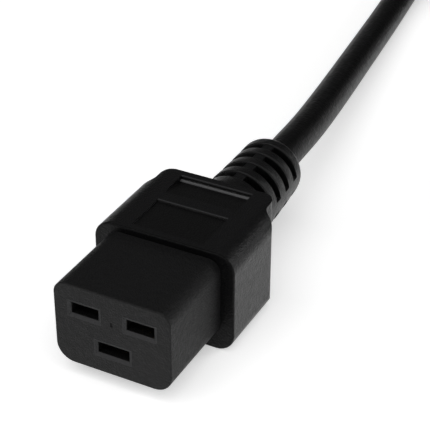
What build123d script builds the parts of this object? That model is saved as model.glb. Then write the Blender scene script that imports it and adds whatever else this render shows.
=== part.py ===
from build123d import *
from math import acos, cos, radians, sin, sqrt, tan
import os

# Moulded C19 cord connector, its cord and the plug on the cord's far end, in millimetres.
# Everything is drawn from the centre of the mating face: x across, y towards the cord, z up.
# At the end all of it is moved once, so that the origin lies under the middle of the connector.

# Nose
nose_width = 27.4
nose_height = 19.8
nose_length = 21.4
nose_top_radius = 3.0
nose_bottom_radius = 4.2
nose_edge_radius = 0.3

# Pins of the appliance inlet, and where they lie from the centre of the nose
pole_pitch = 13.0
power_rise = 4.0
earth_drop = 4.0
power_pin_width = 6.0
earth_pin_width = 7.0
pin_thickness = 2.0

# Slots in the nose, round the pins
slot_end_clearance = 0.2
slot_face_clearance = 0.3
slot_lead_in = 0.8
slot_lead_in_depth = 0.5

# Mark of the mould's gate on the mating face, between the two upper slots
gate_mark_width = 0.5
gate_mark_height = 1.0
gate_mark_depth = 0.2
gate_mark_rise = 3.0

# Contact pockets and the carrier round them
front_wall = 2.0
pocket_clearance = 0.2
carrier_seat = 4.0
lug_reach = 1.2
lug_length = 1.8
lug_height = 9.0
cap_thickness = 1.6
cap_inset = 1.4

# Folded contacts
sheet = 0.6
contact_setback = 3.8
contact_overhang = 0.4
contact_height = 5.0
contact_pinch = 1.7
contact_flare = 3.6
fold_radius = 1.0
pinch_from_front = 3.4
leaf_length = 10.0
conductor_diameter = 2.0
barrel_wall = 0.6
barrel_reach = 3.0

# Grip
grip_side_step = 3.2
grip_top_step = 1.6
grip_bottom_step = 3.1
grip_length = 26.5
grip_edge_radius = 4.4
grip_front_radius = 0.4
shoulder_step = 3.0
shoulder_round = 2.4
shoulder_hollow = 2.6
neck_length = 4.5
neck_corner_radius = 3.0
label_width = 17.3
label_length = 11.2
label_setback = 2.0
label_depth = 0.45
groove_width = 17.8
groove_length = 8.5
groove_rear_land = 2.0
groove_depth = 1.3
groove_foot_radius = 0.7

# Strain relief
relief_length = 29.3
relief_base_radius = 8.8
relief_tip_radius = 7.95
relief_end_round = 1.5
window_rows = 4
window_pitch = 5.25
window_width = 2.4
window_floor_radius = 5.7
window_from_tip = 5.2
top_web_width = 2.4
side_web_width = 3.4
web_turn = 4.5

# Cord and its cores
cord_diameter = 9.0
jacket_in_grip = 4.4
insulation_diameter = 3.2
core_gap = 0.1
core_straight = 3.0
core_bend_radius = 3.5

# Plug on the far end
shroud_length = 22.0
shroud_wall = 1.2
shroud_clearance = 0.25
shroud_depth = 19.2
pin_setback = 2.0
pin_tip_chamfer = 0.5
plug_x = 69.0
plug_y = 101.0

# Coil that the rest of the cord is wound into
coil_x = 30.3
coil_y = 271.0
coil_mid_radius = 45.6
coil_turn_step = 9.2
coil_turns_across = 3
coil_layers = 2
coil_skin = 0.5
coil_corner_radius = 3.5
coil_entry_angle = 187.4
coil_exit_angle = -20.0
coil_overlap = 12.0
coil_cover = 0.4
tie_angle = 90.0
tie_width = 14.0
tie_thickness = 1.0

# Sizes that follow
grip_half_width = nose_width / 2 + grip_side_step
grip_top = nose_height / 2 + grip_top_step
grip_bottom = nose_height / 2 + grip_bottom_step
grip_rear = nose_length + grip_length
jacket_end = grip_rear - jacket_in_grip
carrier_rear = nose_length + carrier_seat
cap_rear = carrier_rear + cap_thickness
barrel_rear = cap_rear + barrel_reach
barrel_diameter = conductor_diameter + 2 * barrel_wall
pocket_height = contact_height + 2 * pocket_clearance
contact_front = front_wall + contact_setback
contact_rear = contact_front + pinch_from_front + leaf_length
core_lay_radius = (insulation_diameter + core_gap) / sqrt(3)
coil_outer_turn = coil_mid_radius + (coil_turns_across - 1) / 2 * coil_turn_step
floor = -grip_bottom
cord_on_floor = floor + cord_diameter / 2
coil_entry_height = cord_on_floor + coil_cover
coil_exit_height = cord_on_floor + (coil_layers - 1) * coil_turn_step - coil_cover
plug_shift = shroud_length - nose_length

poles = {
    "line": (-pole_pitch / 2, power_rise, power_pin_width, 150),
    "neutral": (pole_pitch / 2, power_rise, power_pin_width, 30),
    "earth": (0, -earth_drop, earth_pin_width, 270),
}


def beside_coil(angle, distance, height):
    """Point on the line along the coil's outer turn at an angle, ahead of where the two touch."""
    turn = radians(angle)
    x = coil_x + coil_outer_turn * cos(turn) + distance * sin(turn)
    y = coil_y + coil_outer_turn * sin(turn) - distance * cos(turn)
    return (x, y, height)


# Where the cord goes: first from the connector to the coil, then from the coil into the plug
run_route = [
    (0, jacket_end, 0),
    (0, 64, 0),
    (-1.3, 82, -0.5),
    (-2.6, 101, -2.1),
    (-5.2, 122, -3.7),
    (-9.1, 150, -5.7),
    (-15.6, 199, cord_on_floor),
    beside_coil(coil_entry_angle, -coil_overlap, coil_entry_height),
]
tail_route = [
    beside_coil(coil_exit_angle, coil_overlap, coil_exit_height),
    (70.0, 220, 0.2),
    (plug_x, 196, 0),
    (plug_x, plug_y + plug_shift + jacket_end, 0),
]


def cord_path(points):
    """Straight runs joined by arcs that are as large as the runs on both sides of a corner allow."""
    places = [Vector(*p) for p in points]
    radii = []
    for before, corner, after in zip(places, places[1:], places[2:]):
        into = corner - before
        out = after - corner
        turn = radians(into.get_angle(out))
        radii.append(0.45 * min(into.length, out.length) / tan(turn / 2))
    print("bend radii", [round(r, 1) for r in radii])
    return FilletPolyline(*points, radius=radii)


def plane_along(path, distance):
    """Plane across a path at a distance from its start, with its x axis level."""
    at = path.position_at(distance, position_mode=PositionMode.LENGTH)
    along = path.tangent_at(distance, position_mode=PositionMode.LENGTH)
    return Plane(origin=at, x_dir=(1, 0, 0), z_dir=along)


def tube(path, diameter):
    return sweep(plane_along(path, 0) * Circle(diameter / 2), path=path)


def prism(sketch, front, rear):
    """Sketch seen from the mating side, pulled from one y to another."""
    face = Plane(origin=(0, front, 0), x_dir=(1, 0, 0), z_dir=(0, -1, 0)) * sketch
    return extrude(face, amount=rear - front, dir=(0, 1, 0))


def rod(x, z, diameter, front, rear):
    return prism(Pos(x, z) * Circle(diameter / 2), front, rear)


def nose_outline(grow):
    """Outline of the nose, moved outwards by a distance: small corners above, large ones below."""
    outline = Rectangle(nose_width + 2 * grow, nose_height + 2 * grow)
    corners = outline.vertices().group_by(Axis.Y)
    outline = fillet(corners[-1], nose_top_radius + grow)
    corners = outline.vertices().group_by(Axis.Y)
    return fillet(corners[0], nose_bottom_radius + grow)


def side_lugs():
    """Lugs on the sides of a carrier that lock it into the grip moulded round it."""
    width = nose_width + 2 * lug_reach
    rear = carrier_rear - lug_length / 2
    return prism(Rectangle(width, lug_height), rear - lug_length, rear)


def slot(x, z, pin_width):
    """Slot for a pin, with a lead-in at its mouth."""
    width = pin_width + 2 * slot_end_clearance
    height = pin_thickness + 2 * slot_face_clearance
    mouth = Plane.XZ * Pos(x, z) * Rectangle(width + 2 * slot_lead_in, height + 2 * slot_lead_in)
    throat = Plane.XZ.offset(-slot_lead_in_depth) * Pos(x, z) * Rectangle(width, height)
    return loft([mouth, throat]) + prism(Pos(x, z) * Rectangle(width, height), 0, front_wall + 1)


def pocket_width(pin_width):
    return pin_width + contact_overhang + 2 * pocket_clearance


def contact_carrier():
    body = prism(nose_outline(0), 0, carrier_rear)
    body = fillet(body.faces().sort_by(Axis.Y)[0].edges(), nose_edge_radius)
    body += side_lugs()
    for x, z, pin_width, _ in poles.values():
        body -= slot(x, z, pin_width)
        pocket = Pos(x, z) * Rectangle(pocket_width(pin_width), pocket_height)
        body -= prism(pocket, front_wall, carrier_rear)
    gate_mark = Pos(0, gate_mark_rise) * Rectangle(gate_mark_width, gate_mark_height)
    return body - prism(gate_mark, 0, gate_mark_depth)


def back_cap():
    """Plate on the back of the carrier, with a boss in each pocket that stops the contact."""
    cap = prism(nose_outline(-cap_inset), carrier_rear, cap_rear)
    boss_front = contact_rear + pocket_clearance
    for x, z, pin_width, _ in poles.values():
        inset = 2 * pocket_clearance
        boss = Rectangle(pocket_width(pin_width) - inset, pocket_height - inset)
        cap += prism(Pos(x, z) * boss, boss_front, carrier_rear)
        cap -= rod(x, z, barrel_diameter, boss_front, cap_rear)
    return cap


def contact(x, z, pin_width):
    """Strip folded into two spring leaves that pinch a pin, with a crimp barrel behind the fold."""
    leaf_z = (contact_height - sheet) / 2
    pinch_z = (contact_pinch + sheet) / 2
    flare_z = (contact_flare + sheet) / 2
    front = contact_front + sheet / 2
    back = contact_rear - sheet / 2
    pinch = contact_front + pinch_from_front
    upper = [(front, flare_z), (pinch, pinch_z), (pinch + leaf_length / 2, leaf_z), (back, leaf_z)]
    lower = [(y, -h) for y, h in reversed(upper)]
    strip = FilletPolyline(*upper, *lower, radius=fold_radius)
    section = make_face(offset(strip, amount=sheet / 2, side=Side.BOTH, closed=True))
    spring = extrude(Plane.YZ * section, (pin_width + contact_overhang) / 2, both=True)
    barrel = rod(0, 0, barrel_diameter, contact_rear - sheet / 2, barrel_rear)
    bore = rod(0, 0, conductor_diameter, contact_rear, barrel_rear)
    return Pos(x, 0, z) * (spring + barrel - bore)


def core_path(x, z, lay_angle, start):
    """Path of one core from its barrel to its place in the cord."""
    to_x = core_lay_radius * cos(radians(lay_angle))
    to_z = core_lay_radius * sin(radians(lay_angle))
    points = [
        (x, start, z),
        (x, barrel_rear + core_straight, z),
        (to_x, jacket_end - core_straight, to_z),
        (to_x, jacket_end, to_z),
    ]
    return FilletPolyline(*points, radius=core_bend_radius)


def wire_strands(x, z, lay_angle, start):
    return tube(core_path(x, z, lay_angle, start), conductor_diameter)


def wire_insulation(x, z, lay_angle):
    path = core_path(x, z, lay_angle, barrel_rear)
    return tube(path, insulation_diameter) - tube(path, conductor_diameter)


def grip_plan():
    """Plan of the grip: straight sides, then a steep S-shaped shoulder on each side down to the neck."""
    turn = acos(1 - shoulder_step / (shoulder_round + shoulder_hollow))
    side = grip_half_width
    neck = side - shoulder_step
    end = grip_rear - neck_length
    start = end - (shoulder_round + shoulder_hollow) * sin(turn)
    middle = (side - shoulder_round * (1 - cos(turn)), start + shoulder_round * sin(turn))
    on_round = (side - shoulder_round * (1 - cos(turn / 2)), start + shoulder_round * sin(turn / 2))
    on_hollow = (neck + shoulder_hollow * (1 - cos(turn / 2)), end - shoulder_hollow * sin(turn / 2))
    right = Curve() + [
        Line((0, nose_length), (side, nose_length)),
        Line((side, nose_length), (side, start)),
        ThreePointArc((side, start), on_round, middle),
        ThreePointArc(middle, on_hollow, (neck, end)),
        Line((neck, end), (neck, grip_rear)),
        Line((neck, grip_rear), (0, grip_rear)),
    ]
    plan = make_face(right + mirror(right, Plane.YZ))
    corners = [v for v in plan.vertices() if abs(v.X) > 1 and v.Y > grip_rear - 0.1]
    return fillet(corners, neck_corner_radius)


def finger_groove():
    """Groove that slopes down towards a rounded foot at its back wall."""
    rear = grip_rear - groove_rear_land
    front = rear - groove_length
    section = Polygon(
        (front, grip_top),
        (rear, grip_top + 1),
        (rear, grip_top - groove_depth),
        align=None,
    )
    foot = section.vertices().sort_by(Axis.Y)[0]
    section = fillet(foot, groove_foot_radius)
    return extrude(Plane.YZ * section, groove_width / 2, both=True)


def grip_block():
    """Bar with rounded edges, cut to the plan, with the label field and the finger grooves."""
    bar = RectangleRounded(2 * grip_half_width, grip_top + grip_bottom, grip_edge_radius)
    bar = prism(Pos(0, (grip_top - grip_bottom) / 2) * bar, nose_length, grip_rear)
    block = bar & extrude(Pos(0, 0, -grip_bottom) * grip_plan(), grip_top + grip_bottom)
    block = fillet(block.faces().sort_by(Axis.Y)[0].edges(), grip_front_radius)
    label_y = nose_length + label_setback + label_length / 2
    block -= Pos(0, label_y, grip_top) * Box(label_width, label_length, 2 * label_depth)
    groove = finger_groove()
    middle = Plane.XY.offset((grip_top - grip_bottom) / 2)
    return block - groove - mirror(groove, middle)


def strain_relief(path):
    """Tapered sleeve along the cord, with rows of four windows that leave four webs in each row."""
    start = jacket_in_grip - 1
    end = jacket_in_grip + relief_length

    def radius(distance):
        share = (distance - jacket_in_grip) / relief_length
        return relief_base_radius + (relief_tip_radius - relief_base_radius) * share

    stations = [start + (end - start) * i / 5 for i in range(6)]
    sleeve = loft([plane_along(path, s) * Circle(radius(s)) for s in stations])
    sleeve = fillet(sleeve.faces().sort_by(Axis.Y)[-1].edges(), relief_end_round)
    reach = 2 * relief_base_radius
    ring = Cylinder(reach / 2 + 1, window_width) - Cylinder(window_floor_radius, window_width)
    webs = Box(top_web_width, 2 * reach, window_width) + Box(2 * reach, side_web_width, window_width)
    windows = Rot(0, 0, web_turn) * (ring - webs)
    for row in range(window_rows):
        middle = end - window_from_tip - row * window_pitch
        sleeve -= plane_along(path, middle).location * windows
    return sleeve


def grip_moulding(path, cord, block_rear):
    """Grip and strain relief in one piece, moulded round the carrier, the barrels, the cores and the cord."""
    moulding = grip_block() + strain_relief(path) - cord
    moulding -= prism(nose_outline(0), nose_length - 1, carrier_rear) + side_lugs()
    if block_rear > carrier_rear:
        moulding -= prism(nose_outline(-cap_inset), carrier_rear, block_rear)
    for x, z, _, lay_angle in poles.values():
        moulding -= rod(x, z, barrel_diameter, block_rear, barrel_rear)
        moulding -= tube(core_path(x, z, lay_angle, barrel_rear), insulation_diameter)
    return moulding


def plug_pin_carrier():
    """Open shroud with a floor that holds the pins, and a block behind it that the grip is moulded round."""
    grow = shroud_clearance + shroud_wall
    front = nose_length - shroud_length
    floor_y = front + shroud_depth
    body = prism(nose_outline(grow), front, nose_length)
    body -= prism(nose_outline(shroud_clearance), front, floor_y)
    body += prism(nose_outline(0), floor_y, carrier_rear) + side_lugs()
    for x, z, pin_width, _ in poles.values():
        body -= prism(Pos(x, z) * Rectangle(pin_width, pin_thickness), floor_y, carrier_rear)
    return body


def plug_pin(x, z, pin_width):
    """Flat pin with a chamfered tip, and a crimp barrel on its back end."""
    tip = nose_length - shroud_length + pin_setback
    blade = prism(Rectangle(pin_width, pin_thickness), tip, carrier_rear)
    blade = chamfer(blade.faces().sort_by(Axis.Y)[0].edges(), pin_tip_chamfer)
    barrel = rod(0, 0, barrel_diameter, carrier_rear, barrel_rear)
    bore = rod(0, 0, conductor_diameter, carrier_rear, barrel_rear)
    return Pos(x, 0, z) * (blade + barrel - bore)


def coil_section(grow, lift):
    """Section through the coil's turns, moved out at the top and sides and lifted at the bottom."""
    width = (coil_turns_across - 1) * coil_turn_step + cord_diameter + 2 * (coil_skin + grow)
    bottom = floor + lift
    top = floor + (coil_layers - 1) * coil_turn_step + cord_diameter + grow
    section = RectangleRounded(width, top - bottom, coil_corner_radius)
    return Plane.XZ * Pos(coil_mid_radius, (top + bottom) / 2) * section


def coil_ring():
    """Outside of the wound coil, as one ring lying on the floor."""
    return Pos(coil_x, coil_y, 0) * revolve(coil_section(0, 0), Axis.Z)


def coil_tie():
    """Strap wound round the coil's turns at one place, which passes between them and the floor."""
    section = coil_section(tie_thickness, 0) - coil_section(0, tie_thickness)
    band = Rot(0, 0, -45) * revolve(section, Axis.Z, 90)
    strap = band & Box(4 * coil_mid_radius, tie_width, 4 * coil_mid_radius)
    return Pos(coil_x, coil_y, 0) * Rot(0, 0, tie_angle) * strap


run_path = cord_path(run_route)
tail_path = cord_path(tail_route)
cord_run = tube(run_path, cord_diameter)
cord_tail = tube(tail_path, cord_diameter)
plug_path = Line((0, jacket_end, 0), (0, grip_rear + relief_length + 1, 0))

parts = {"contact_carrier": contact_carrier(), "carrier_back_cap": back_cap()}
plug_parts = {"plug_pin_carrier": plug_pin_carrier()}
for pole, (x, z, pin_width, lay_angle) in poles.items():
    insulation = wire_insulation(x, z, lay_angle)
    parts[f"{pole}_contact"] = contact(x, z, pin_width)
    parts[f"{pole}_wire_strands"] = wire_strands(x, z, lay_angle, contact_rear)
    parts[f"{pole}_wire_insulation"] = insulation
    plug_parts[f"plug_{pole}_pin"] = plug_pin(x, z, pin_width)
    plug_parts[f"plug_{pole}_wire_strands"] = wire_strands(x, z, lay_angle, carrier_rear)
    plug_parts[f"plug_{pole}_wire_insulation"] = insulation

parts["grip_overmould"] = grip_moulding(run_path, cord_run, cap_rear)
plug_cord = Pos(-plug_x, -plug_y - plug_shift, 0) * cord_tail
plug_parts["plug_grip"] = grip_moulding(plug_path, plug_cord, carrier_rear)
connector_length = parts["grip_overmould"].bounding_box().max.Y
for name, piece in plug_parts.items():
    parts[name] = Pos(plug_x, plug_y + plug_shift, 0) * piece

parts["coil_tie"] = coil_tie()
parts["cord_coil"] = coil_ring() - parts["coil_tie"] - cord_run - cord_tail
parts["cord_run"] = cord_run
parts["cord_tail"] = cord_tail

os.makedirs("parts", exist_ok=True)
to_frame = Pos(0, -connector_length / 2, grip_bottom)
for name, piece in parts.items():
    export_step(to_frame * piece, f"parts/{name}.step")
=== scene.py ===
from math import cos, exp, pi, radians, sin

import bmesh
import bpy
from mathutils import Matrix, Vector


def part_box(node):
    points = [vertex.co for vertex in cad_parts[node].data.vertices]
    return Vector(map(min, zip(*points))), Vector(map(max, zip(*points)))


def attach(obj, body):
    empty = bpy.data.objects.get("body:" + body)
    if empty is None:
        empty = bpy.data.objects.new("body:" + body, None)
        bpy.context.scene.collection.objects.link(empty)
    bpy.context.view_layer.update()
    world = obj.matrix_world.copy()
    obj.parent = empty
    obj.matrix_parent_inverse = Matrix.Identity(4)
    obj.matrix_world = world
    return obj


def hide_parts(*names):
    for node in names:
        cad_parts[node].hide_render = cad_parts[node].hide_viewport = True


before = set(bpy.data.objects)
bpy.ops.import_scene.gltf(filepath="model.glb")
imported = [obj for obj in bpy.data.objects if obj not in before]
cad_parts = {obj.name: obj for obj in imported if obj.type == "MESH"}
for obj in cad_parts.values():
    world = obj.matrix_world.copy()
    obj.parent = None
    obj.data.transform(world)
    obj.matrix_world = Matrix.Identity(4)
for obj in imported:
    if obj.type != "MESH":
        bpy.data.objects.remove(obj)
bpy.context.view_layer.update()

# Lengths are in millimetres from the centre of the mating face, as the part's source has them.
# place() turns them into metres of the frame.
mm_per_m = 1000
nose_low, nose_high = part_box("contact_carrier")
grip_low, grip_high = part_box("grip_overmould")
face_y = nose_low[1]
axis_z = (nose_low[2] + nose_high[2]) / 2
floor_z = grip_low[2]
floor_mm = (floor_z - axis_z) * mm_per_m
nose_depth = (nose_high[1] - nose_low[1]) * mm_per_m
grip_top = (grip_high[2] - axis_z) * mm_per_m
grip_front = (grip_low[1] - face_y) * mm_per_m
grip_half_width = grip_high[0] * mm_per_m


def place(x, y, z):
    return Vector((x / mm_per_m, face_y + y / mm_per_m, axis_z + z / mm_per_m))


# Camera, fitted to the photograph
picture_px = 430
focal_px = 1411.97
azimuth = 27.352
elevation = 32.42
roll = 0.2
across_mm = 20.889
above_mm = 24.799
distance_mm = 286.138
sensor_mm = 36
nearest_m = 0.01

# Light and floor, in metres and watts
lit_place = (0, 40, 0)
softbox_distance = 1.2
softboxes = [
    ("overhead_box", (0, -0.5, 0.85), (2.1, 1.9), 20),
    ("right_box", (0.8, 0.6, 0.45), (0.5, 0.4), 3),
    ("back_card", (-0.45, 0.75, 0.5), (1.2, 0.8), 0.3),
]
world_strength = 0.02
floor_reach = 30.0
floor_white = 0.9
floor_roughness = 0.9
floor_gloss = 0.1
lift_distances = (0.5, 1.5)
lift_strengths = (0.45, 1.0)

# Colours
white = (1, 1, 1)
plastic_black = (0.0026, 0.0026, 0.0028)
jacket_black = (0.0015, 0.0015, 0.0016)
strap_black = (0.012, 0.012, 0.013)
# Painted highlights on edges and on the groove's foot, and painted shade in the recesses, slots and
# windows
painted_edge_highlight = (0.03, 0.03, 0.031)
painted_foot_highlight = (0.06, 0.06, 0.062)
painted_recess_shade = (0.0006, 0.0006, 0.0006)
painted_inside_shade = (0.0004, 0.0004, 0.0004)
dull_gloss = (0.25, 0.25, 0.25)
core_colours = {
    "line": (0.16, 0.07, 0.03),
    "neutral": (0.03, 0.12, 0.45),
    "earth": (0.10, 0.35, 0.06),
}

# Plastics: roughness, specular level, grains to the metre, and depth of the mould texture in metres
soft_pvc = (0.38, 0.29, 2400, 0.00016)
stiff_nylon = (0.57, 0.25, 2600, 0.00025)
jacket_pvc = (0.42, 0.19, 1600, 0.00014)
core_pvc = (0.4, 0.4, 2600, 0.00002)
noise_range = (0.3, 0.7)
gloss_spread = 0.05
tone_spread = 0.25
tone_grains = 90
soft_edge_m = 0.00015
soft_edge_samples = 4

# Metals: streaks along the strip, and how far they take the roughness down and up
streak_grains = 900
streak_strength = 0.3
streak_depth = 0.00002
streak_gloss = (-0.08, 0.1)
strip_streak = (1, 0.08, 1)
strand_streak = (1, 0.15, 1)

# Weave of the strap
weave_roughness = 0.85
weave_sheen = 0.2
weave_scale = 3.2
weave_distortion = 0.6
weave_depth = 0.0002
weave_shade = 0.5
weave_mm = 10

# Slots of the mating face, and the lead-in round the mouth of each
pole_pitch = 13.0
pole_rise = 4.0
power_slot_width = 6.4
earth_slot_width = 7.4
slot_height = 2.6
slot_lead_in = 0.8
slot_lead_in_depth = 0.5
slots = [
    (-pole_pitch / 2, pole_rise, power_slot_width),
    (pole_pitch / 2, pole_rise, power_slot_width),
    (0, -pole_rise, earth_slot_width),
]

# Recesses in the top of the grip, with painted shade inside them and painted highlights along their rear
# edges and on the groove's foot, and the dull front of the grip
groove_rear = 45.9
groove_length = 8.5
groove_width = 17.8
groove_depth = 1.3
groove_foot = 0.7
foot_up = 0.6
foot_back = 0.2
label_rear = 34.6
label_length = 11.2
label_width = 17.3
pale_lip = 0.3
dull_front = 0.5

# Cord: the route's points, and the coil that its unseen length is wound into
cord_diameter = 9.0
cord_on_floor = floor_mm + cord_diameter / 2
curve_steps = 6
jacket_end = 43.5
plug_x = 69.0
plug_y = 101.6
run_route = [
    (0, 64, 0),
    (-1.3, 82, -0.5),
    (-2.6, 101, -2.1),
    (-5.2, 122, -3.7),
    (-9.1, 150, -5.7),
    (-15.6, 199, cord_on_floor),
]
tail_route = [
    (70.0, 220, 0.2),
    (plug_x, 196, 0),
    (plug_x, plug_y + jacket_end, 0),
]

# Coil, with one entry for each turn: its ring, counted from the middle one, and its layer
coil_x = 30.3
coil_y = 271.0
coil_mid_radius = 45.6
coil_turn_step = 9.2
coil_entry_angle = 187.4
coil_exit_angle = -20.0
coil_whole_turns = 5
coil_rings = 3
coil_layers = 2
coil_skin = 0.5
coil_turns = [(1, 0), (0, 0), (-1, 0), (-1, 1), (0, 1), (1, 1)]
points_per_turn = 24
turn_change = 0.2

# Strap round the coil, which the lower turns ride over
tie_angle = 90.0
tie_width = 14.0
tie_thickness = 1.0
tie_corner = 4.5
tie_lap_rise = 1.05
tie_lap_start = 8.0
tie_lap_end = -7.0
tie_lift_spread = 0.35
tie_step = 1.5
tie_corner_steps = 8
tie_columns = 9
tie_end_half_width = 1.0
tie_edge_m = 0.0002
tie_edge_segments = 2

# Strain relief: distances along its axis count from the end of the jacket inside the grip
relief_start = 4.4
relief_length = 29.3
relief_base_radius = 8.8
relief_tip_radius = 7.95
relief_end_round = 1.5
relief_knee = 20.5
relief_bend = [(0, jacket_end, 0), run_route[0], run_route[1]]
plug_axis = [(plug_x, plug_y + jacket_end + y, 0) for y in (0, relief_knee, relief_length)]
knee_share = 0.45
window_rows = 4
window_pitch = 5.25
window_width = 2.4
window_from_tip = 5.2
window_lip = 0.4
window_clear = 1

# Hoops between the windows, which stand proud of the webs at the top and sink into them at the sides
hoop_rise = 0.25
hoop_fade = 0.31
hoop_fade_power = 4
hoop_sunk = 0.5
hoop_inset = 0.15
hoop_root = 1
hoop_round = 0.2
hoop_round_steps = 3
hoop_tip_steps = 7
hoop_sides = 72
hoop_sharp_angle = 50


def add_object(name, data):
    made = bpy.data.objects.new(name, data)
    bpy.context.scene.collection.objects.link(made)
    return made


def mesh_from(form, name, material):
    mesh = bpy.data.meshes.new(name)
    form.to_mesh(mesh)
    form.free()
    mesh.materials.append(material)
    return mesh


def new_material(name):
    material = bpy.data.materials.new(name)
    material.use_nodes = True
    nodes, links = tree(material)
    return material, nodes, links, nodes["Principled BSDF"]


def tree(material):
    return material.node_tree.nodes, material.node_tree.links


def calculate(nodes, links, operation, *values):
    """Math node on sockets and plain numbers."""
    node = nodes.new("ShaderNodeMath")
    node.operation = operation
    for socket, value in zip(node.inputs, values):
        if isinstance(value, (int, float)):
            socket.default_value = value
        else:
            links.new(value, socket)
    return node.outputs["Value"]


def spread(nodes, links, value, start, end):
    """A value's usual range, spread over another range."""
    scaled = nodes.new("ShaderNodeMapRange")
    names = ("From Min", "From Max", "To Min", "To Max")
    for name, number in zip(names, (*start, *end)):
        scaled.inputs[name].default_value = number
    links.new(value, scaled.inputs["Value"])
    return scaled.outputs["Result"]


def blend(nodes, links, share, start, end):
    """Colour from one to another, each a plain colour or a socket, as far as a share from 0 to 1 says."""
    mix = nodes.new("ShaderNodeMix")
    mix.data_type = "RGBA"
    links.new(share, mix.inputs["Factor"])
    for name, colour in (("A", start), ("B", end)):
        if isinstance(colour, bpy.types.NodeSocket):
            links.new(colour, mix.inputs[name])
        else:
            mix.inputs[name].default_value = [*colour, 1]
    return mix.outputs["Result"]


def raised(nodes, links, height, depth, normal=None):
    """Bump node for a relief of the given depth in metres, on a normal or on the plain surface."""
    bump = nodes.new("ShaderNodeBump")
    bump.inputs["Distance"].default_value = depth
    links.new(height, bump.inputs["Height"])
    if normal:
        links.new(normal, bump.inputs["Normal"])
    return bump


def grain(nodes, links, scale, detail, stretch=(1, 1, 1)):
    """Noise in the frame's own metres, so that its scale is in grains to the metre."""
    where = nodes.new("ShaderNodeTexCoord")
    mapping = nodes.new("ShaderNodeMapping")
    mapping.inputs["Scale"].default_value = stretch
    noise = nodes.new("ShaderNodeTexNoise")
    noise.inputs["Scale"].default_value = scale
    noise.inputs["Detail"].default_value = detail
    links.new(where.outputs["Object"], mapping.inputs["Vector"])
    links.new(mapping.outputs["Vector"], noise.inputs["Vector"])
    return noise.outputs["Fac"]


def frame_axes(nodes, links):
    """X, Y and Z of the shaded place, in metres of the frame."""
    where = nodes.new("ShaderNodeTexCoord")
    axes = nodes.new("ShaderNodeSeparateXYZ")
    links.new(where.outputs["Object"], axes.inputs["Vector"])
    return axes.outputs


def between(nodes, links, value, low, high):
    """1 where a value lies between two numbers, and 0 elsewhere."""
    return calculate(nodes, links, "COMPARE", value, (low + high) / 2, (high - low) / 2)


def moulded_plastic(name, colour, roughness, specular, texture, depth):
    """Moulded plastic: mould texture of so many grains to the metre, soft edges and mottled gloss."""
    material, nodes, links, shader = new_material(name)
    shader.inputs["Specular IOR Level"].default_value = specular
    fine = grain(nodes, links, texture, 3)
    mottle = grain(nodes, links, texture / 3, 4)
    broad = grain(nodes, links, tone_grains, 2)
    dark = [c * (1 - tone_spread) for c in colour]
    light = [c * (1 + tone_spread) for c in colour]
    links.new(blend(nodes, links, broad, dark, light), shader.inputs["Base Color"])
    roughnesses = (roughness - gloss_spread, roughness + gloss_spread)
    links.new(spread(nodes, links, mottle, noise_range, roughnesses), shader.inputs["Roughness"])
    soft_edge = nodes.new("ShaderNodeBevel")
    soft_edge.samples = soft_edge_samples
    soft_edge.inputs["Radius"].default_value = soft_edge_m
    patchy = raised(nodes, links, mottle, depth / 2, soft_edge.outputs["Normal"])
    textured = raised(nodes, links, fine, depth, patchy.outputs["Normal"])
    links.new(textured.outputs["Normal"], shader.inputs["Normal"])
    return material


def metal(name, colour, roughness, stretch):
    """Bare metal with drawn streaks along the strip."""
    material, nodes, links, shader = new_material(name)
    shader.inputs["Metallic"].default_value = 1.0
    shader.inputs["Base Color"].default_value = [*colour, 1]
    streaks = grain(nodes, links, streak_grains, 3, stretch)
    roughnesses = [roughness + step for step in streak_gloss]
    links.new(spread(nodes, links, streaks, (0, 1), roughnesses), shader.inputs["Roughness"])
    bump = raised(nodes, links, streaks, streak_depth)
    bump.inputs["Strength"].default_value = streak_strength
    links.new(bump.outputs["Normal"], shader.inputs["Normal"])
    return material


def woven_strap(name, colour):
    """Woven nylon of the strap."""
    material, nodes, links, shader = new_material(name)
    shader.inputs["Roughness"].default_value = weave_roughness
    shader.inputs["Sheen Weight"].default_value = weave_sheen
    where = nodes.new("ShaderNodeUVMap")
    where.uv_map = "weave"
    heights = []
    for direction in ("X", "Y"):
        wave = nodes.new("ShaderNodeTexWave")
        wave.bands_direction = direction
        wave.inputs["Scale"].default_value = weave_scale
        wave.inputs["Distortion"].default_value = weave_distortion
        links.new(where.outputs["UV"], wave.inputs["Vector"])
        heights.append(wave.outputs["Fac"])
    weave = calculate(nodes, links, "MULTIPLY", *heights)
    shaded = [c * weave_shade for c in colour]
    links.new(blend(nodes, links, weave, shaded, colour), shader.inputs["Base Color"])
    bump = raised(nodes, links, weave, weave_depth)
    links.new(bump.outputs["Normal"], shader.inputs["Normal"])
    return material


def tint(material, share, colour):
    """Lay a colour over a material's own, as far as a share from 0 to 1 says."""
    nodes, links = tree(material)
    base = nodes["Principled BSDF"].inputs["Base Color"]
    links.new(blend(nodes, links, share, base.links[0].from_socket, colour), base)


def dull(material, share):
    """Take most of the gloss off a material, as far as a share from 0 to 1 says."""
    nodes, links = tree(material)
    gloss = nodes["Principled BSDF"].inputs["Specular Tint"]
    links.new(blend(nodes, links, share, white, dull_gloss), gloss)


def within(material, low, high):
    """1 inside a box between two places in millimetres, and 0 outside it."""
    nodes, links = tree(material)
    axes = frame_axes(nodes, links)
    inside = 1
    for axis, start, end in zip("XYZ", place(*low), place(*high)):
        near = between(nodes, links, axes[axis], start, end)
        inside = calculate(nodes, links, "MULTIPLY", inside, near)
    return inside


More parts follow.
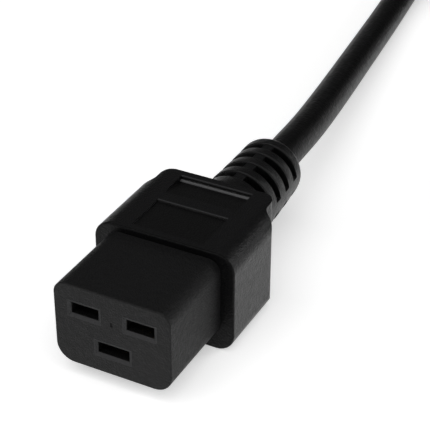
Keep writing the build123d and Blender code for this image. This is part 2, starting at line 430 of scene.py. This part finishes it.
def paint_slot_highlights_and_shade(material):
    """Painted highlights on the lead-ins round the slots, and painted shade in the slots behind them."""
    half_height = slot_height / 2 + slot_lead_in
    for x, z, width in slots:
        half_width = width / 2 + slot_lead_in
        left, right = x - half_width, x + half_width
        low, high = z - half_height, z + half_height
        lead_in = within(material, (left, 0, low), (right, slot_lead_in_depth, high))
        # painted highlight on the lead-in
        tint(material, lead_in, painted_edge_highlight)
        inside = within(material, (left, slot_lead_in_depth, low), (right, nose_depth, high))
        # painted shade inside the slot
        tint(material, inside, painted_inside_shade)


def paint_grip_shade_and_highlights(material):
    """Painted shade in the recesses, painted highlights along their rear edges and on the groove's foot,
    and a dull front.
    """
    recesses = ((groove_rear, groove_length, groove_width), (label_rear, label_length, label_width))
    for rear, length, width in recesses:
        near = (-width / 2, rear - length, grip_top - 2 * groove_depth)
        far = (width / 2, rear, grip_top - pale_lip / 2)
        # painted shade in the recess
        tint(material, within(material, near, far), painted_recess_shade)
        near = (-width / 2, rear - pale_lip / 4, grip_top - pale_lip)
        far = (width / 2, rear + pale_lip, grip_top + pale_lip)
        # painted highlight along the recess's rear edge
        tint(material, within(material, near, far), painted_edge_highlight)
    groove_floor = grip_top - groove_depth
    near = (-groove_width / 2, groove_rear - groove_foot, groove_floor - groove_foot / 2)
    far = (groove_width / 2, groove_rear - groove_foot * foot_back, groove_floor + groove_foot * foot_up)
    # painted highlight on the groove's foot
    tint(material, within(material, near, far), painted_foot_highlight)
    near = (-grip_half_width - dull_front, grip_front - dull_front, floor_mm - dull_front)
    far = (grip_half_width + dull_front, grip_front + dull_front, grip_top + dull_front)
    dull(material, within(material, near, far))


def paint_window_shade(material, axis):
    """Painted shade inside the strain relief's windows, up to just under its outer surface."""
    nodes, links = tree(material)
    start, knee, beyond = [place(*point) for point in axis]
    out = beyond - knee
    axes = frame_axes(nodes, links)
    past_knee = calculate(nodes, links, "SUBTRACT", axes["Y"], knee.y)
    past_knee = calculate(nodes, links, "MAXIMUM", past_knee, 0)
    squares = []
    for name, middle, lean in (("X", knee.x, out.x / out.y), ("Z", knee.z, out.z / out.y)):
        line = calculate(nodes, links, "MULTIPLY_ADD", past_knee, lean, middle)
        off = calculate(nodes, links, "SUBTRACT", axes[name], line)
        squares.append(calculate(nodes, links, "MULTIPLY", off, off))
    from_axis = calculate(nodes, links, "SQRT", calculate(nodes, links, "ADD", *squares))
    taper = (relief_tip_radius - relief_base_radius) / relief_length
    base = (relief_base_radius - window_lip - taper * relief_start) / mm_per_m - taper * start.y
    surface = calculate(nodes, links, "MULTIPLY_ADD", axes["Y"], taper, base)
    under = calculate(nodes, links, "LESS_THAN", from_axis, surface)
    first = start.y + (relief_start + window_clear) / mm_per_m
    last = start.y + (relief_start + relief_length - window_from_tip + window_width) / mm_per_m
    along = between(nodes, links, axes["Y"], first, last)
    # painted shade inside the windows
    tint(material, calculate(nodes, links, "MULTIPLY", under, along), painted_inside_shade)


def coil_points():
    """Turns of the coil from where the cord comes in to where it leaves for the plug."""
    sweep = coil_entry_angle - coil_exit_angle + 360 * coil_whole_turns
    count = round(sweep / 360 * points_per_turn)
    points = []
    for i in range(count + 1):
        turned = sweep * i / count
        turn, part = divmod(turned / 360, 1)
        ring, layer = coil_turns[int(turn)]
        if int(turn) + 1 < len(coil_turns) and part > 1 - turn_change:
            share = (part - 1 + turn_change) / turn_change
            share = share * share * (3 - 2 * share)
            next_ring, next_layer = coil_turns[int(turn) + 1]
            ring += (next_ring - ring) * share
            layer += (next_layer - layer) * share
        angle = radians(coil_entry_angle - turned)
        radius = coil_mid_radius + ring * coil_turn_step
        from_tie = (angle - radians(tie_angle) + pi) % (2 * pi) - pi
        lift = tie_thickness * (1 - layer) * exp(-((from_tie / tie_lift_spread) ** 2))
        height = cord_on_floor + layer * coil_turn_step + lift
        points.append((coil_x + radius * cos(angle), coil_y + radius * sin(angle), height))
    return points


def strap_line():
    """Line of the strap round the coil: radial offset and height of points a millimetre or two apart."""
    half = (coil_rings - 1) / 2 * coil_turn_step + cord_diameter / 2 + coil_skin + tie_thickness / 2
    low = floor_mm + tie_thickness / 2
    high = floor_mm + (coil_layers - 1) * coil_turn_step + cord_diameter + tie_thickness / 2
    flat = half - tie_corner
    ring = [(tie_lap_start, high)]

    def straight(u, w):
        from_u, from_w = ring[-1]
        steps = max(1, round(max(abs(u - from_u), abs(w - from_w)) / tie_step))
        for i in range(1, steps + 1):
            ring.append((from_u + (u - from_u) * i / steps, from_w + (w - from_w) * i / steps))

    def corner(u, w, start, rise):
        for i in range(1, tie_corner_steps + 1):
            angle = radians(start + 90 * i / tie_corner_steps)
            radius = tie_corner + rise * i / tie_corner_steps
            ring.append((u + radius * cos(angle), w + radius * sin(angle)))

    straight(-flat, high)
    corner(-flat, high - tie_corner, 90, 0)
    straight(-half, low + tie_corner)
    corner(-flat, low + tie_corner, 180, 0)
    straight(flat, low)
    corner(flat, low + tie_corner, 270, 0)
    straight(half, high - tie_corner)
    corner(flat, high - tie_corner, 0, tie_lap_rise)
    straight(tie_lap_end, high + tie_lap_rise)
    return ring


def coil_strap(material):
    """Woven strap wound once round the coil's turns, with a round-ended lap on top of its own start."""
    line = strap_line()
    along = [0]
    for (u, w), (v, x) in zip(line, line[1:]):
        along.append(along[-1] + ((u - v) ** 2 + (w - x) ** 2) ** 0.5)
    form = bmesh.new()
    uv = form.loops.layers.uv.new("weave")
    rows = []
    for (u, w), done in zip(line, along):
        left = min(tie_width / 2, along[-1] - done)
        half = max(tie_end_half_width, (tie_width * left - left * left) ** 0.5)
        row = []
        for i in range(tie_columns):
            across = half * (2 * i / (tie_columns - 1) - 1)
            vertex = form.verts.new(place(coil_x + across, coil_y + coil_mid_radius + u, w))
            row.append((vertex, done, across))
        rows.append(row)
    for near, far in zip(rows, rows[1:]):
        for i in range(tie_columns - 1):
            ring = [near[i], near[i + 1], far[i + 1], far[i]]
            face = form.faces.new([vertex for vertex, _, _ in ring])
            face.smooth = True
            for loop, (_, done, across) in zip(face.loops, ring):
                loop[uv].uv = (across / weave_mm, done / weave_mm)
    strap = add_object("coil_strap", mesh_from(form, "coil_strap", material))
    thick = strap.modifiers.new("thickness", "SOLIDIFY")
    thick.thickness = tie_thickness / mm_per_m
    thick.offset = 0
    edge = strap.modifiers.new("soft_edge", "BEVEL")
    edge.width = tie_edge_m
    edge.segments = tie_edge_segments
    edge.limit_method = "ANGLE"
    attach(strap, "root")
    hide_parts("coil_tie")
    return strap


def relief_section(axis, distance):
    """Centre of the strain relief at a distance along its axis, its side and up, and its radius."""
    start, knee, beyond = [Vector(point) for point in axis]
    into, out = knee - start, beyond - knee
    reach = knee_share * min(into.length, out.length)
    past = distance - into.length
    into.normalize()
    out.normalize()
    share = min(1, max(0, (past + reach) / (2 * reach)))
    along = into.lerp(out, share).normalized()
    if share in (0, 1):
        centre = knee + along * past
    else:
        centre = knee - into * reach * (1 - share) ** 2 + out * reach * share ** 2
    up = Vector((1, 0, 0)).cross(along).normalized()
    share = (distance - relief_start) / relief_length
    radius = relief_base_radius + (relief_tip_radius - relief_base_radius) * share
    return centre, along.cross(up), up, radius


def hoop_outline(first, last, at_tip):
    """Outline of a hoop's section: distance along the relief, and height over its surface."""
    shoulder = hoop_rise - hoop_round
    turns = [radians(90 * i / hoop_round_steps) for i in range(hoop_round_steps + 1)]
    outline = [(first, -hoop_sunk)]
    for turn in turns:
        outline.append((first + hoop_round - hoop_round * cos(turn), shoulder + hoop_round * sin(turn)))
    if not at_tip:
        for turn in turns:
            outline.append((last - hoop_round + hoop_round * sin(turn), shoulder + hoop_round * cos(turn)))
        return outline + [(last, -hoop_sunk)]
    middle = last - relief_end_round
    outline.append((middle - hoop_round, hoop_rise))
    for i in range(hoop_tip_steps + 1):
        turn = radians(90 - 90 * i / hoop_tip_steps)
        radius = relief_end_round + hoop_rise * (1 - i / (hoop_tip_steps - 1))
        outline.append((middle + radius * cos(turn), radius * sin(turn) - relief_end_round))
    return outline + [(middle, -relief_end_round - hoop_sunk)]


def hoop_outlines():
    """Sections of all the hoops of a strain relief, from the grip to its tip."""
    end = relief_start + relief_length
    edges = [relief_start - hoop_root]
    for row in reversed(range(window_rows)):
        middle = end - window_from_tip - row * window_pitch
        edges += [middle - window_width / 2 - hoop_inset, middle + window_width / 2 + hoop_inset]
    edges.append(end)
    return [hoop_outline(first, last, last == end) for first, last in zip(edges[::2], edges[1::2])]


def relief_hoops(name, axis, material):
    """Hoops of a strain relief, each a closed ring sunk into the moulding."""
    form = bmesh.new()
    for outline in hoop_outlines():
        rings = []
        for distance, height in outline:
            centre, side, up, radius = relief_section(axis, distance)
            ring = []
            for i in range(hoop_sides):
                angle = 2 * pi * i / hoop_sides
                out = radius + height - hoop_fade * cos(angle) ** hoop_fade_power
                spot = centre + (side * cos(angle) + up * sin(angle)) * out
                ring.append(form.verts.new(place(*spot)))
            rings.append(ring)
        for near, far in zip(rings, rings[1:] + rings[:1]):
            for i in range(hoop_sides):
                j = (i + 1) % hoop_sides
                form.faces.new([near[i], near[j], far[j], far[i]]).smooth = True
    bmesh.ops.recalc_face_normals(form, faces=form.faces)
    mesh = mesh_from(form, name, material)
    mesh.set_sharp_from_angle(angle=radians(hoop_sharp_angle))
    hoops = add_object(name, mesh)
    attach(hoops, "root")
    return hoops


def dress(node, material):
    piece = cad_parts[node]
    piece.data.materials.clear()
    piece.data.materials.append(material)


def dress_nodes():
    """Give every CAD node that stays its finish."""
    grip = moulded_plastic("grip_black_pvc", plastic_black, *soft_pvc)
    paint_grip_shade_and_highlights(grip)
    paint_window_shade(grip, relief_bend)
    soft = moulded_plastic("soft_black_pvc", plastic_black, *soft_pvc)
    paint_window_shade(soft, plug_axis)
    stiff = moulded_plastic("stiff_black_nylon", plastic_black, *stiff_nylon)
    nose = moulded_plastic("nose_black_nylon", plastic_black, *stiff_nylon)
    paint_slot_highlights_and_shade(nose)
    brass = metal("contact_brass", (0.80, 0.60, 0.28), 0.28, strip_streak)
    nickel = metal("nickel_plate", (0.72, 0.70, 0.66), 0.22, strip_streak)
    copper = metal("bare_copper", (0.85, 0.43, 0.26), 0.35, strand_streak)
    dress("grip_overmould", grip)
    dress("plug_grip", soft)
    dress("contact_carrier", nose)
    for node in ("carrier_back_cap", "plug_pin_carrier"):
        dress(node, stiff)
    for pole, colour in core_colours.items():
        insulation = moulded_plastic(f"{pole}_insulation", colour, *core_pvc)
        dress(f"{pole}_contact", brass)
        dress(f"plug_{pole}_pin", nickel)
        for end in ("", "plug_"):
            dress(f"{end}{pole}_wire_strands", copper)
            dress(f"{end}{pole}_wire_insulation", insulation)


def mains_cord(material):
    """The whole cord as one smooth curve, from inside the grip through the coil into the plug."""
    route = run_route + coil_points() + tail_route
    curve = bpy.data.curves.new("mains_cord", "CURVE")
    curve.dimensions = "3D"
    curve.resolution_u = curve_steps
    curve.bevel_depth = cord_diameter / 2 / mm_per_m
    curve.bevel_resolution = curve_steps
    curve.use_fill_caps = True
    spline = curve.splines.new("NURBS")
    spline.points.add(len(route) - 1)
    for point, (x, y, z) in zip(spline.points, route):
        point.co = (*place(x, y, z), 1)
    spline.order_u = 3
    spline.use_endpoint_u = True
    curve.materials.append(material)
    cord = add_object("mains_cord", curve)
    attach(cord, "root")
    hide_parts("cord_run", "cord_coil", "cord_tail")


def camera():
    turn, rise, tilt = radians(azimuth), radians(elevation), radians(roll)
    back = Vector((sin(turn) * cos(rise), -cos(turn) * cos(rise), sin(rise)))
    level = Vector((cos(turn), sin(turn), 0))
    upright = back.cross(level)
    right = cos(tilt) * level + sin(tilt) * upright
    up = cos(tilt) * upright - sin(tilt) * level
    eye = right * across_mm + up * above_mm + back * distance_mm
    lens = bpy.data.cameras.new("camera")
    lens.sensor_width = sensor_mm
    lens.lens = focal_px * sensor_mm / picture_px
    lens.clip_start = nearest_m
    view = add_object("camera", lens)
    turned = Matrix((right, up, back)).transposed().to_4x4()
    view.matrix_world = Matrix.Translation(place(*eye)) @ turned
    bpy.context.scene.camera = view


def softbox(name, toward, size, watts):
    """Area lamp in a direction from the connector, facing it."""
    lamp = bpy.data.lights.new(name, "AREA")
    lamp.shape = "RECTANGLE"
    lamp.size, lamp.size_y = size
    lamp.energy = watts
    light = add_object(name, lamp)
    aim = Vector(toward).normalized()
    light.location = place(*lit_place) + aim * softbox_distance
    light.rotation_euler = aim.to_track_quat("Z", "Y").to_euler()


def floor():
    """Plain pale floor, lifted to white for the camera and for reflections, which keeps the shadow."""
    material, nodes, links, shader = new_material("floor_paper")
    shader.inputs["Base Color"].default_value = (floor_white, floor_white, floor_white, 1)
    shader.inputs["Roughness"].default_value = floor_roughness
    shader.inputs["Specular IOR Level"].default_value = floor_gloss
    path = nodes.new("ShaderNodeLightPath")
    rays = (path.outputs["Is Camera Ray"], path.outputs["Is Glossy Ray"])
    seen = calculate(nodes, links, "MAXIMUM", *rays)
    where = nodes.new("ShaderNodeTexCoord")
    away = nodes.new("ShaderNodeVectorMath")
    away.operation = "LENGTH"
    links.new(where.outputs["Object"], away.inputs[0])
    lift = spread(nodes, links, away.outputs["Value"], lift_distances, lift_strengths)
    shader.inputs["Emission Color"].default_value = (*white, 1)
    links.new(calculate(nodes, links, "MULTIPLY", seen, lift), shader.inputs["Emission Strength"])
    mesh = bpy.data.meshes.new("floor")
    reach = floor_reach
    corners = [(-reach, -reach), (reach, -reach), (reach, reach), (-reach, reach)]
    mesh.from_pydata([(x, y, floor_z) for x, y in corners], [], [(0, 1, 2, 3)])
    mesh.materials.append(material)
    add_object("floor", mesh)


def studio():
    world = bpy.data.worlds.new("studio")
    world.use_nodes = True
    background = world.node_tree.nodes["Background"]
    background.inputs["Color"].default_value = (*white, 1)
    background.inputs["Strength"].default_value = world_strength
    bpy.context.scene.world = world
    for name, toward, size, watts in softboxes:
        softbox(name, toward, size, watts)
    floor()


dress_nodes()
rib = moulded_plastic("rib_black_pvc", plastic_black, *soft_pvc)
relief_hoops("relief_hoops", relief_bend, rib)
plug_hoops = relief_hoops("plug_relief_hoops", plug_axis, rib)
strap = coil_strap(woven_strap("tie_nylon", strap_black))
mains_cord(moulded_plastic("cord_black_pvc", jacket_black, *jacket_pvc))
camera()
studio()
bpy.context.scene.view_settings.view_transform = "Standard"
